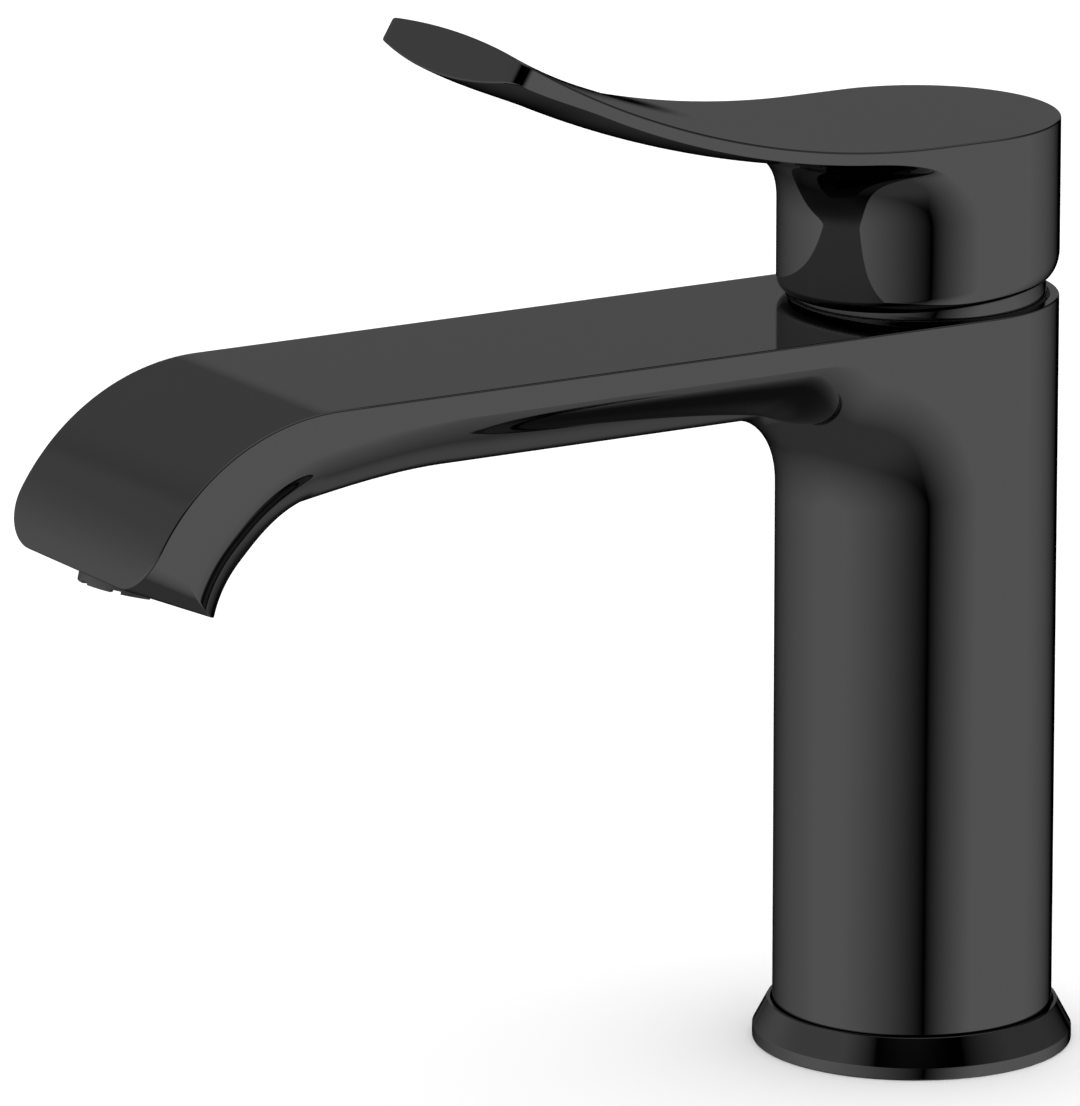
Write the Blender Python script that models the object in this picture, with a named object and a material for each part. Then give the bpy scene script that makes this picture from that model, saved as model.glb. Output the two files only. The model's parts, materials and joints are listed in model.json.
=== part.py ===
"""Single-lever basin mixer tap: a round column with a wide flat spout and a matching plate lever.

Frame: +Z up, origin on the column's axis at the deck, spout and lever towards -Y.
Sizes are in millimetres and are turned into metres where vertices are made.
"""

import math

import bmesh
import bpy
from mathutils import Matrix, Vector

MM = 0.001
GAP = 0.3                     # clearance between neighbouring pieces
ROUND = 32                    # segments of the large turned pieces
SMALL_ROUND = 16              # segments of the small turned pieces
ACROSS = 14                   # facets across the spout, the lever and half the column

# Column and spout
COLUMN_R = 22.0
BODY_TOP = 120.25             # height of the spout's flat top
SPOUT_BAND = 3.9              # upright side band of the spout
SPOUT_HULL = 11.7             # depth of the curved underside below the band
SPOUT_TIP_HULL = 18.3         # the same at the outlet, where the spout is thicker
SPOUT_FLAT = 116.0            # flat top, from the column's axis to the bend
SPOUT_GROWTH = (SPOUT_FLAT - 26.0, SPOUT_FLAT + 29.0)  # stretch of the top edge over which it thickens
BEND_R = 35.5
BEND_ANGLE = math.radians(72)
SPOUT_CORNER_R = 8.0          # rounded corners at the outlet
OUTLET_SLANT = 0.08           # how far the outlet face leans back, per millimetre of thickness
ROOT_FILLET = 15.5            # underside of the spout into the column
ROOT_BLEND = (COLUMN_R + 9.0, 23.0)  # reach of the side blend along Y and down Z
TURN_LENGTH = 25.0            # stretch over which an arm's sections turn square to its top

# Centre of the collar's ball, about which the lever tilts
PIVOT_Z = BODY_TOP - 0.75

# Lever
LEVER_TOP = BODY_TOP + 28.15
LEVER_BAND = 2.0
LEVER_TIP_BAND = 3.3
LEVER_HULL = 2.6
LEVER_TIP_HULL = 2.6
LEVER_GROWTH = (70.0, 89.0)   # stretch of the top edge over which the band deepens
CROWN_GROWTH = (COLUMN_R, COLUMN_R + 40.0)  # stretch over which the top's middle rises
LEVER_FLAT = 10.0             # flat top, from the axis to the upward curve
LEVER_CURVE_R = 140.0
LEVER_ANGLE = math.radians(31.6)
LEVER_TIP_HALF = COLUMN_R - 1.8  # half width at the tip
LEVER_CORNER_R = 2.7
LEVER_CROWN = 1.25            # rise of the top's middle at the tip
LEVER_FILLET = 9.5
LEVER_BLEND = (COLUMN_R, 10.0)

# Cartridge: its radii follow its barrel, its heights hang from the pivot
CART_R = 16.4
CART_FLANGE_R = CART_R + 1.2
CART_BORE_R = CART_R - 2.2
CART_BASE_T = 5.0
DISC_T = 3.3
FIXED_DISC_R = CART_BORE_R - 0.7
MOVING_DISC_R = CART_BORE_R - 4.0
CARRIER_R = CART_BORE_R - 3.6
CARRIER_T = 7.0
NECK_BORE_R = CART_BORE_R - 4.7
NECK_R = NECK_BORE_R + 1.5
NECK_TOP = PIVOT_Z + 7.0
SHOULDER = (PIVOT_Z - 7.3, PIVOT_Z - 4.8)
LOCK_NUT_T = 4.0
LIMIT_RING_T = 1.8
PORT_R = 2.6
PORT_X, PORT_Y = FIXED_DISC_R - 5.5, -3.0  # hot inlet at -X, cold inlet at +X
SEAL_T = 1.3
BALL_END_R = 3.8
SPINDLE_R = 3.0
SPINDLE_TOP = 20.0            # length above the pivot
SPINDLE_LEAN = math.radians(4.5)
SLOT_HALF = 3.5
PIN_R = 1.2

# Hollows in the column
LOWER_BORE_R = COLUMN_R - 3.0
SEPTUM = (PIVOT_Z - 53.5, PIVOT_Z - 43.5)  # solid wall between the lower bore and the chamber
CHAMBER_R = CART_FLANGE_R + 0.4
COUNTERBORE = (COLUMN_R - 1.5, BODY_TOP - 1.45)  # radius and floor of the recess round the collar
CHANNEL = (7.0, BODY_TOP - 13.25, BODY_TOP - 8.25)  # half width, floor and roof of the waterway
CHANNEL_END = SPOUT_FLAT + 11.0
DUCT_R = 4.2

# Ball-shaped collar, and the handle skirt that tilts on it
BALL_R = COLUMN_R - 1.94
COLLAR_BOTTOM = BODY_TOP + 0.15
COLLAR_TOP = PIVOT_Z + 9.0
COLLAR_BORE_R = CHAMBER_R - 2.8
RIM_OUTER = (PIVOT_Z + 5.8, 0.119)  # height on the axis, and rise per millimetre of Y
RIM_INNER = (PIVOT_Z + 2.85, 0.0735)
RIM_R = COLUMN_R - 2.13
RIM_STEPS = 4
HANDLE_ROOF = PIVOT_Z + 22.5
HANDLE_CAVITY_R = COLUMN_R - 4.2
BOSS_R = 13.0
BOSS_BOTTOM = PIVOT_Z + 12.0
INSERT_R = 9.5
SCREW_Z = PIVOT_Z + 17.0
SCREW_R = 1.7
PLUG_R = 2.7

# Base ring and inlets
RING_R = COLUMN_R + 3.15
RING_BORE = COLUMN_R + 0.35
RING_SIDE = 2.2               # upright side
RING_TOP = 6.3
GASKET_R = COLUMN_R + 2.3
GASKET_T = 1.0
MANIFOLD_BOSS_R = LOWER_BORE_R - 3.2
MANIFOLD_TOP = 12.0
CLIP = (1.1, 2.0)             # bottom and top of the retaining clip
HOSE_R, HOSE_DEPTH = 5.0, 8.0
STUD_Y, STUD_R, STUD_DEPTH = 10.0, 3.2, 9.0
TUBE_R, TUBE_WALL = 4.0, 1.0
TUBE_SOCKET = 3.0             # how deep a riser tube enters the manifold
SEPTUM_SOCKET = 4.0           # how deep it enters the wall above

# Aerator, in its own frame: Z runs from the outlet face into the spout
AERATOR_R = 7.9
AERATOR_WALL = 1.1
AERATOR_DEPTH = 7.0
AERATOR_PROUD = 0.5
AERATOR_BACK = 10.6           # from the spout's front edge to the aerator's axis
CELL_R = 1.05

# Colours: base colour, metallic, roughness
BLACK_CHROME = ((0.075, 0.075, 0.078), 1.0, 0.06)
BRASS = ((0.62, 0.46, 0.22), 1.0, 0.3)
STEEL = ((0.55, 0.55, 0.56), 1.0, 0.25)
DARK_PLASTIC = ((0.03, 0.03, 0.032), 0.0, 0.5)
WHITE_PLASTIC = ((0.75, 0.75, 0.72), 0.0, 0.45)
RED_PLASTIC = ((0.55, 0.03, 0.03), 0.0, 0.45)
RUBBER = ((0.02, 0.02, 0.02), 0.0, 0.8)
CERAMIC = ((0.85, 0.84, 0.8), 0.0, 0.2)


def clear_scene():
    for item in list(bpy.data.objects):
        bpy.data.objects.remove(item, do_unlink=True)


def material(name, look):
    found = bpy.data.materials.get(name)
    if found:
        return found
    colour, metallic, roughness = look
    made = bpy.data.materials.new(name)
    made.use_nodes = True
    shader = made.node_tree.nodes["Principled BSDF"]
    shader.inputs["Base Color"].default_value = (*colour, 1.0)
    shader.inputs["Metallic"].default_value = metallic
    shader.inputs["Roughness"].default_value = roughness
    return made


def piece_from(name, bm, look=None):
    """Turn a bmesh in metres into an object; without a look it is a cutter."""
    bmesh.ops.recalc_face_normals(bm, faces=bm.faces)
    if bm.calc_volume(signed=True) < 0:
        bmesh.ops.reverse_faces(bm, faces=bm.faces)
    mesh = bpy.data.meshes.new(name)
    bm.to_mesh(mesh)
    bm.free()
    mesh.shade_smooth()
    mesh.set_sharp_from_angle(angle=math.radians(32))
    piece = bpy.data.objects.new(name, mesh)
    bpy.context.scene.collection.objects.link(piece)
    if look is None:
        piece.hide_render = True
        piece.display_type = "WIRE"
    else:
        mesh.materials.append(material(name, look))
    return piece


def shape_boolean(piece, other, operation="DIFFERENCE", solver="EXACT"):
    modifier = piece.modifiers.new(other.name, "BOOLEAN")
    modifier.operation = operation
    modifier.solver = solver
    modifier.object = other


def cut(piece, *cutters):
    for cutter in cutters:
        shape_boolean(piece, cutter)


def cut_many(piece, *cutters):
    """Cut with the solver that keeps a mesh closed where many cuts meet."""
    for cutter in cutters:
        shape_boolean(piece, cutter, solver="MANIFOLD")


def turned(name, profile, look=None, segments=ROUND, centre=(0.0, 0.0, 0.0), place=None):
    """Turn a closed outline of (radius, height) about Z; radius 0 makes a point on the axis."""
    bm = bmesh.new()
    rings = []
    for radius, height in profile:
        count = 1 if radius == 0 else segments
        ring = []
        for step in range(count):
            angle = 2 * math.pi * step / segments
            spot = Vector((radius * math.cos(angle), radius * math.sin(angle), height))
            ring.append(bm.verts.new((spot + Vector(centre)) * MM))
        rings.append(ring)
    for ring, following in zip(rings, rings[1:] + rings[:1]):
        if len(ring) == 1 and len(following) == 1:
            continue
        for step in range(segments):
            after = (step + 1) % segments
            corners = [ring[step % len(ring)], ring[after % len(ring)],
                       following[after % len(following)], following[step % len(following)]]
            corners = list(dict.fromkeys(corners))
            bm.faces.new(corners)
    if place is not None:
        bm.transform(place)
    return piece_from(name, bm, look)


def rod(name, radius, low, high, look=None, segments=SMALL_ROUND, centre=(0.0, 0.0), place=None):
    outline = [(0, low), (radius, low), (radius, high), (0, high)]
    return turned(name, outline, look, segments, (*centre, 0.0), place)


def ring(name, inner, outer, low, high, look=None, segments=ROUND, centre=(0.0, 0.0), place=None):
    outline = [(inner, low), (outer, low), (outer, high), (inner, high)]
    return turned(name, outline, look, segments, (*centre, 0.0), place)


def seal(name, inner, outer, low, high, segments=ROUND, centre=(0.0, 0.0), place=None):
    """A rubber ring with a six-sided section, a plain stand-in for a round one."""
    middle = (low + high) / 2
    ease = (outer - inner) * 0.25
    outline = [(inner, middle), (inner + ease, low), (outer - ease, low), (outer, middle),
               (outer - ease, high), (inner + ease, high)]
    return turned(name, outline, RUBBER, segments, (*centre, 0.0), place)


def block(name, low, high, look=None, place=None):
    """A box between two corners."""
    bm = bmesh.new()
    bmesh.ops.create_cube(bm, size=1.0)
    size = Vector(high) - Vector(low)
    middle = (Vector(high) + Vector(low)) / 2
    bm.transform(Matrix.Translation(middle * MM) @ Matrix.Diagonal((*(size * MM), 1.0)))
    if place is not None:
        bm.transform(place)
    return piece_from(name, bm, look)


def prisms(name, outlines, low, high, look=None, place=None):
    """Extrude closed outlines of (x, y) points along Z."""
    bm = bmesh.new()
    for outline in outlines:
        floor = [bm.verts.new((x * MM, y * MM, low * MM)) for x, y in outline]
        roof = [bm.verts.new((x * MM, y * MM, high * MM)) for x, y in outline]
        bm.faces.new(floor[::-1])
        bm.faces.new(roof)
        for a, b, c, d in zip(floor, floor[1:] + floor[:1], roof[1:] + roof[:1], roof):
            bm.faces.new((a, b, c, d))
    if place is not None:
        bm.transform(place)
    return piece_from(name, bm, look)


def tilted_about_pivot(angle):
    """Rotation about the X axis through the lever's pivot."""
    pivot = Vector((0, 0, PIVOT_Z * MM))
    return Matrix.Translation(pivot) @ Matrix.Rotation(angle, 4, "X") @ Matrix.Translation(-pivot)


def smooth(value):
    """Ease a value from 0 to 1."""
    value = max(0.0, min(1.0, value))
    return value * value * (3 - 2 * value)


def smooth_between(value, stretch):
    return smooth((value - stretch[0]) / (stretch[1] - stretch[0]))


class Arm:
    """A wide flat arm that grows out of a round column: the spout, or the lever on its skirt.

    Its top edge runs flat and then bends on one radius. Each section hangs below the top edge: an
    upright side band, then a curved hull. The hull turns down into the column on a fillet.
    """

    def __init__(self, top, flat, bend_r, bend_angle, upward, band, tip_band, hull, tip_hull, growth,
                 tip_half, corner_r, crown, crown_growth, slant, fillet, blend, roundness):
        self.top, self.flat, self.bend_r, self.bend_angle = top, flat, bend_r, bend_angle
        self.side = 1.0 if upward else -1.0
        self.band, self.tip_band, self.growth = band, tip_band, growth
        self.hull, self.tip_hull, self.slant = hull, tip_hull, slant
        self.tip_half, self.corner_r = tip_half, corner_r
        self.crown, self.crown_growth = crown, crown_growth
        self.fillet, self.blend, self.roundness = fillet, blend, roundness

    def section(self, share, cross, roundness):
        """Hull depth as a share of its greatest, at cross = x / half width."""
        cross = min(1.0, abs(cross))
        depth = self.hull / COLUMN_R
        circle_r = (1 + depth * depth) / (2 * depth)
        arc = (math.sqrt(circle_r ** 2 - cross ** 2) - (circle_r - depth)) / depth
        return share * ((1 - roundness) * arc + roundness * math.sqrt(1 - cross ** 2))

    def top_at(self, y):
        """Height of the top edge at a place along Y."""
        reach = max(0.0, -y - self.flat)
        return self.top + self.side * (self.bend_r - math.sqrt(self.bend_r ** 2 - reach ** 2))

    def edge(self, along):
        """Point (y, z) at a length along the top edge, and the direction (y, z) into the thickness."""
        angle = max(0.0, along - self.flat) / self.bend_r
        y = -min(along, self.flat) - self.bend_r * math.sin(angle)
        z = self.top + self.side * self.bend_r * (1 - math.cos(angle))
        angle *= smooth_between(along, (self.start(), self.start() + TURN_LENGTH))
        return (y, z), (-self.side * math.sin(angle), -math.cos(angle))

    def start(self):
        """Length along the top edge where the blend into the column begins."""
        reach = self.blend[0]
        if reach <= self.flat:
            return reach
        return self.flat + self.bend_r * math.asin((reach - self.flat) / self.bend_r)

    def end(self):
        return self.flat + self.bend_r * self.bend_angle

    def half_width(self, along):
        """Half width before the corners are rounded."""
        share = (along - self.start()) / (self.end() - self.start())
        return COLUMN_R + (self.tip_half - COLUMN_R) * smooth(share)

    def ahead(self, along):
        """How far the keel's rows run ahead of the edge's, to meet the start of the fillet."""
        lead = COLUMN_R + self.fillet - self.blend[0]
        if lead == 0:
            return 0.0
        return lead * max(0.0, 1 - (along - self.start()) / (3 * abs(lead)))

    def row(self, along, half):
        """Top and bottom points across the arm at a length along the top edge."""
        upper, lower = [], []
        for step in range(ACROSS + 1):
            x = half * math.sin(math.pi * (step / ACROSS - 0.5))
            (y, z), (down_y, down_z) = self.edge(along)
            full = self.half_width(along)
            rise = self.crown * smooth_between(along, self.crown_growth)
            rise *= (half / full) ** 2 - (x / full) ** 2
            upper.append((x, y - down_y * rise, z - down_z * rise))

            place = along + self.ahead(along) * self.section(1.0, x / full, 0.0)
            (y, z), (down_y, down_z) = self.edge(place)
            grown = smooth_between(place, self.growth)
            depth = self.band + (self.tip_band - self.band) * grown
            hull = self.hull + (self.tip_hull - self.hull) * grown
            depth += self.section(hull, x / full, self.roundness * grown)
            lean = depth * self.slant * smooth_between(place, (self.end() - 2 * self.corner_r, self.end()))
            lower.append((x, y + down_y * depth + down_z * lean, z + down_z * depth - down_y * lean))
        return upper, lower

    def rows(self, corner_steps=4, bend_steps=11):
        """Rows from the tip to the last one before the blend into the column."""
        places = []
        for step in range(corner_steps + 1):
            turn = math.pi / 2 * step / corner_steps
            along = self.end() - self.corner_r * (1 - math.cos(turn))
            places.append((along, self.half_width(along) - self.corner_r * (1 - math.sin(turn))))
        last = self.end() - self.corner_r
        first = max(self.start(), min(self.growth[0], self.flat))
        for step in range(1, bend_steps + 1):
            along = last + (first - last) * step / bend_steps
            if along > self.start():
                places.append((along, self.half_width(along)))
        return [self.row(along, half) for along, half in places]

    def root(self, steps=7):
        """Rows that turn the underside down the fillet into the column, with the top above them."""
        found = []
        for step in range(steps + 1):
            turn = math.pi / 2 * step / steps
            edge_y = -self.blend[0] * (1 - math.sin(turn))
            edge_top = self.top_at(edge_y)
            edge_z = edge_top - self.band - self.blend[1] * (1 - math.cos(turn))
            keel_y = -COLUMN_R - self.fillet * (1 - math.sin(turn))
            keel_z = self.top_at(keel_y) - self.band - self.hull - self.fillet * (1 - math.cos(turn))
            roundness = smooth(step / steps)
            upper, lower = [], []
            for across in range(ACROSS + 1):
                cross = math.sin(math.pi * (across / ACROSS - 0.5))
                share = self.section(1.0, cross, roundness)
                upper.append((COLUMN_R * cross, edge_y, edge_top))
                lower.append((COLUMN_R * cross, edge_y + (keel_y - edge_y) * share,
                              edge_z + (keel_z - edge_z) * share))
            found.append((upper, lower))
        return found

    def build(self, name, column_rows, look):
        """Skin the arm and its column; each column row is (radius, height on the axis, rise per Y)."""
        bm = bmesh.new()

        def line(points):
            return [bm.verts.new(Vector(point) * MM) for point in points]

        def bridge(first, second):
            for a, b, c, d in zip(first, first[1:], second[1:], second):
                bm.faces.new((a, b, c, d))

        arm = [(line(upper), line(lower)) for upper, lower in self.rows() + self.root()]
        bm.faces.new(arm[0][0] + arm[0][1][::-1])
        for (upper, lower), (next_upper, next_lower) in zip(arm, arm[1:]):
            bridge(upper, next_upper)
            bridge(lower, next_lower)
            for side in (0, -1):
                bm.faces.new((upper[side], next_upper[side], next_lower[side], lower[side]))
        last_upper, front = arm[-1]

        def back_half(radius, height, rise):
            points = []
            for step in range(1, ACROSS):
                angle = math.pi * step / ACROSS
                x, y = radius * math.cos(angle), radius * math.sin(angle)
                points.append((x, y, height + rise * y))
            return line(points)

        crest = back_half(COLUMN_R, self.top, 0)
        start = front[0].co.z / MM
        back = [[last_upper[-1]] + crest + [last_upper[0]],
                [front[-1]] + back_half(COLUMN_R, start, 0) + [front[0]]]
        for radius, height, rise in column_rows:
            points = []
            for step in range(ACROSS + 1):
                turn = math.pi * (step / ACROSS - 0.5)
                y = -radius * math.cos(turn)
                points.append((radius * math.sin(turn), y, height + rise * y))
            following = line(points)
            bridge(front, following)
            front = following
            back.append([front[-1]] + back_half(radius, height, rise) + [front[0]])
        for row, following in zip(back, back[1:]):
            bridge(row, following)
        bm.faces.new(last_upper + crest)
        bm.faces.new(front + back[-1][1:-1])
        return piece_from(name, bm, look)


def outlet_place():
    """Frame of the aerator: its origin on the outlet face, Z into the spout."""
    (y, z), (down_y, down_z) = SPOUT.edge(SPOUT.end())
    lean = AERATOR_BACK * OUTLET_SLANT
    middle = Vector((0, y + down_y * AERATOR_BACK + down_z * lean,
                     z + down_z * AERATOR_BACK - down_y * lean)) * MM
    tilt = math.pi / 2 - BEND_ANGLE - math.atan(OUTLET_SLANT)
    return Matrix.Translation(middle) @ Matrix.Rotation(-tilt, 4, "X")


SPOUT = Arm(top=BODY_TOP, flat=SPOUT_FLAT, bend_r=BEND_R, bend_angle=BEND_ANGLE, upward=False,
            band=SPOUT_BAND, tip_band=SPOUT_BAND, hull=SPOUT_HULL, tip_hull=SPOUT_TIP_HULL,
            growth=SPOUT_GROWTH, tip_half=COLUMN_R, corner_r=SPOUT_CORNER_R, crown=0.0,
            crown_growth=SPOUT_GROWTH, slant=OUTLET_SLANT, fillet=ROOT_FILLET, blend=ROOT_BLEND,
            roundness=0.8)
LEVER = Arm(top=LEVER_TOP, flat=LEVER_FLAT, bend_r=LEVER_CURVE_R, bend_angle=LEVER_ANGLE, upward=True,
            band=LEVER_BAND, tip_band=LEVER_TIP_BAND, hull=LEVER_HULL, tip_hull=LEVER_TIP_HULL,
            growth=LEVER_GROWTH, tip_half=LEVER_TIP_HALF, corner_r=LEVER_CORNER_R, crown=LEVER_CROWN,
            crown_growth=CROWN_GROWTH, slant=0.0, fillet=LEVER_FILLET, blend=LEVER_BLEND, roundness=0.0)


def body():
    shell = SPOUT.build("body_shell", [(COLUMN_R, 0.0, 0.0)], BLACK_CHROME)
    place = outlet_place()
    pocket_depth = AERATOR_DEPTH + 2 * GAP + 1.0
    top = place @ Vector((0, 0, (pocket_depth - 1) * MM))
    bend = Vector((0, -CHANNEL_END, (CHANNEL[1] + CHANNEL[2]) / 2)) * MM
    run = bend - top
    duct_place = Matrix.Translation(top) @ run.to_track_quat("Z", "Y").to_matrix().to_4x4()
    cut_many(shell,
        rod("cut_lower_bore", LOWER_BORE_R, -5, SEPTUM[0], segments=ROUND),
        rod("cut_clip_groove", LOWER_BORE_R + 1.0, CLIP[0] - GAP, CLIP[1] + GAP, segments=ROUND),
        rod("cut_chamber", CHAMBER_R, SEPTUM[1], BODY_TOP + 5, segments=ROUND),
        rod("cut_counterbore", COUNTERBORE[0], COUNTERBORE[1], BODY_TOP + 5, segments=ROUND),
        block("cut_channel", (-CHANNEL[0], -CHANNEL_END, CHANNEL[1]),
              (CHANNEL[0], 4 - CHAMBER_R, CHANNEL[2])),
        rod("cut_aerator_pocket", AERATOR_R + GAP, -5, pocket_depth, place=place),
        rod("cut_duct", DUCT_R, 0, run.length / MM + 1, place=duct_place))
    for side, label in ((-1, "hot"), (1, "cold")):
        spot = (side * PORT_X, PORT_Y)
        cut_many(shell,
            rod(f"cut_{label}_socket", TUBE_R + GAP, SEPTUM[0] - 2, SEPTUM[0] + SEPTUM_SOCKET, centre=spot),
            rod(f"cut_{label}_port", PORT_R, SEPTUM[0], SEPTUM[1] + 2, centre=spot))
    return shell


def base():
    inner = RING_BORE
    outline = [(inner, GASKET_T + GAP), (GASKET_R + GAP, GASKET_T + GAP), (GASKET_R + GAP, 0),
               (RING_R - 0.2, 0), (RING_R, 0.25), (RING_R, RING_SIDE - 0.25), (RING_R - 0.2, RING_SIDE + 0.1),
               (inner + 0.3, RING_TOP), (inner, RING_TOP), (inner, 4.2), (inner + 1.0, 4.2),
               (inner + 1.0, 2.6), (inner, 2.6)]
    turned("base_ring", outline, BLACK_CHROME, 40)
    seal("ring_seal", COLUMN_R + GAP, inner + 0.7, 2.9, 3.9)
    ring("deck_gasket", COLUMN_R + GAP, GASKET_R, 0, GASKET_T, RUBBER)


def inlets():
    flange = CLIP[1] + GAP
    groove = (6.3, 8.7)
    plug_r = LOWER_BORE_R - GAP
    outline = [(0, 0), (MANIFOLD_BOSS_R, 0), (MANIFOLD_BOSS_R, flange), (plug_r, flange),
               (plug_r, groove[0]), (plug_r - 1.8, groove[0]), (plug_r - 1.8, groove[1]),
               (plug_r, groove[1]), (plug_r, MANIFOLD_TOP), (0, MANIFOLD_TOP)]
    manifold = turned("inlet_manifold", outline, BRASS)
    for side, label in ((-1, "hot"), (1, "cold")):
        spot = (side * PORT_X, PORT_Y)
        floor = MANIFOLD_TOP - TUBE_SOCKET
        cut_many(manifold,
            rod(f"cut_{label}_hose", HOSE_R, -2, HOSE_DEPTH, segments=24, centre=spot),
            rod(f"cut_{label}_way", TUBE_R - TUBE_WALL, HOSE_DEPTH - 1, MANIFOLD_TOP, centre=spot),
            rod(f"cut_{label}_seat", TUBE_R + GAP, floor, MANIFOLD_TOP + 2, centre=spot))
        ring(f"{label}_riser_tube", TUBE_R - TUBE_WALL, TUBE_R, floor + GAP,
             SEPTUM[0] + SEPTUM_SOCKET - GAP, STEEL, SMALL_ROUND, spot)
    cut_many(manifold, rod("cut_stud", STUD_R, -2, STUD_DEPTH, centre=(0, STUD_Y)))
    seal("manifold_seal", plug_r - 1.5, LOWER_BORE_R - 0.2, groove[0] + GAP, groove[1] - GAP)
    clip = []
    opening = math.radians(28)
    for radius, direction in ((LOWER_BORE_R + 0.7, 1), (MANIFOLD_BOSS_R + 0.4, -1)):
        angles = [opening + (2 * math.pi - 2 * opening) * step / 28 for step in range(29)]
        for angle in angles[::direction]:
            clip.append((radius * math.sin(angle), radius * math.cos(angle)))
    prisms("manifold_clip", [clip[::-1]], CLIP[0], CLIP[1], STEEL)


def cartridge():
    """The 35 mm ceramic-disc cartridge, bottom to top; returns nothing, its pieces are named."""
    floor = SEPTUM[1] + GAP
    base_top = floor + CART_BASE_T
    base_r = CHAMBER_R - 0.8
    groove = (floor + 1.6, floor + 3.6)
    outline = [(0, floor), (base_r, floor), (base_r, groove[0]), (base_r - 1.5, groove[0]),
               (base_r - 1.5, groove[1]), (base_r, groove[1]), (base_r, base_top), (0, base_top)]
    bottom = turned("cartridge_base", outline, WHITE_PLASTIC)
    seal("base_seal_outer", base_r - 1.2, CHAMBER_R - 0.2, groove[0] + 0.2, groove[1] - 0.2)

    fixed_low = base_top + GAP
    fixed = rod("fixed_ceramic_disc", FIXED_DISC_R, fixed_low, fixed_low + DISC_T, CERAMIC, ROUND)
    for side, label in ((-1, "hot"), (1, "cold")):
        spot = (side * PORT_X, PORT_Y)
        cut_many(bottom,
            rod(f"cut_{label}_seal_seat", PORT_R + 2.4, floor - 2, floor + SEAL_T, centre=spot),
            rod(f"cut_{label}_base_port", PORT_R, floor, base_top + 2, centre=spot))
        seal(f"base_seal_{label}", PORT_R + 0.6, PORT_R + 2.1, floor, floor + SEAL_T - GAP, SMALL_ROUND, spot)
        cut_many(fixed, rod(f"cut_{label}_disc_port", PORT_R, fixed_low - 2, fixed_low + DISC_T + 2, centre=spot))
    outlet = (0, PORT_X)
    cut_many(bottom, rod("cut_base_outlet", PORT_R, floor - 2, base_top + 2, centre=outlet))
    cut_many(fixed, rod("cut_disc_outlet", PORT_R, fixed_low - 2, fixed_low + DISC_T + 2, centre=outlet))

    ball_z = fixed_low + 2 * DISC_T + 2 * GAP + CARRIER_T - 0.9
    reach = PIVOT_Z - ball_z
    shift = reach * math.sin(SPINDLE_LEAN)
    moving_low = fixed_low + DISC_T + GAP
    moving = rod("moving_ceramic_disc", MOVING_DISC_R, moving_low, moving_low + DISC_T, CERAMIC,
                 ROUND, (0, shift))
    pocket_half = MOVING_DISC_R - 3.2
    cut(moving, block("cut_mixing_pocket", (-pocket_half, shift - 5, moving_low - 2),
                      (pocket_half, shift + 5, moving_low + 1.8)))
    carrier_low = moving_low + DISC_T + GAP
    carrier_top = carrier_low + CARRIER_T
    carrier = rod("disc_carrier", CARRIER_R, carrier_low, carrier_top, WHITE_PLASTIC, ROUND, (0, shift))
    socket_floor = ball_z - BALL_END_R - 0.5
    cut(carrier, rod("cut_ball_socket", BALL_END_R + 0.5, socket_floor, carrier_top + 2, centre=(0, shift)))

    collar_low, collar_top = carrier_top + GAP, carrier_top + GAP + 3.2
    turret_top = NECK_TOP - GAP
    turret_r = NECK_BORE_R - GAP
    outline = [(0, collar_low), (CART_BORE_R - 0.4, collar_low), (CART_BORE_R - 0.4, collar_top),
               (turret_r, collar_top), (turret_r, turret_top), (0, turret_top)]
    turret = turned("stem_turret", outline, RED_PLASTIC)
    side_on = Matrix.Translation((0, 0, PIVOT_Z * MM)) @ Matrix.Rotation(math.pi / 2, 4, "Y")
    cut(turret,
        block("cut_turret_slot", (-SLOT_HALF, -8.2, collar_low - 2), (SLOT_HALF, 8.2, turret_top + 2)),
        rod("cut_turret_pin", PIN_R + GAP, -20, 20, segments=16, place=side_on))
    rod("pivot_pin", PIN_R, -turret_r + 0.6, turret_r - 0.6, STEEL, 16, place=side_on)

    roof = collar_top + 0.5
    outline = [(CART_BORE_R, base_top + GAP), (CART_R, base_top + GAP), (CART_R, SHOULDER[0]),
               (CART_FLANGE_R, SHOULDER[0]), (CART_FLANGE_R, SHOULDER[1]), (NECK_R, SHOULDER[1]),
               (NECK_R, NECK_TOP), (NECK_BORE_R, NECK_TOP), (NECK_BORE_R, roof), (CART_BORE_R, roof)]
    housing = turned("cartridge_housing", outline, WHITE_PLASTIC)
    cut(housing, block("cut_housing_window", (-6, -20, moving_low), (6, 4.2 - CART_BORE_R, carrier_low)))

    lean = tilted_about_pivot(SPINDLE_LEAN)
    arm_low = PIVOT_Z - reach + 2
    spindle = rod("spindle", SPINDLE_R, arm_low, PIVOT_Z - 4, BRASS, place=lean)
    ball = []
    for step in range(9):
        turn = math.pi * (step / 8 - 0.5)
        ball.append((0 if step in (0, 8) else BALL_END_R * math.cos(turn), ball_z + BALL_END_R * math.sin(turn)))
    shape_boolean(spindle, turned("join_ball", ball, None, SMALL_ROUND, place=lean), "UNION", "MANIFOLD")
    head = block("join_head", (-3.1, -3.9, PIVOT_Z - 5), (3.1, 3.9, PIVOT_Z + 6), place=lean)
    square = block("join_square", (-3.5, -3.5, PIVOT_Z + 7.2), (3.5, 3.5, PIVOT_Z + SPINDLE_TOP), place=lean)
    neck = rod("join_neck", SPINDLE_R, PIVOT_Z + 5, PIVOT_Z + 8, place=lean)
    for part in (head, neck, square):
        shape_boolean(spindle, part, "UNION", "MANIFOLD")
    cut_many(spindle, rod("cut_spindle_pin", PIN_R + GAP, -20, 20, segments=16, place=side_on))

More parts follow.
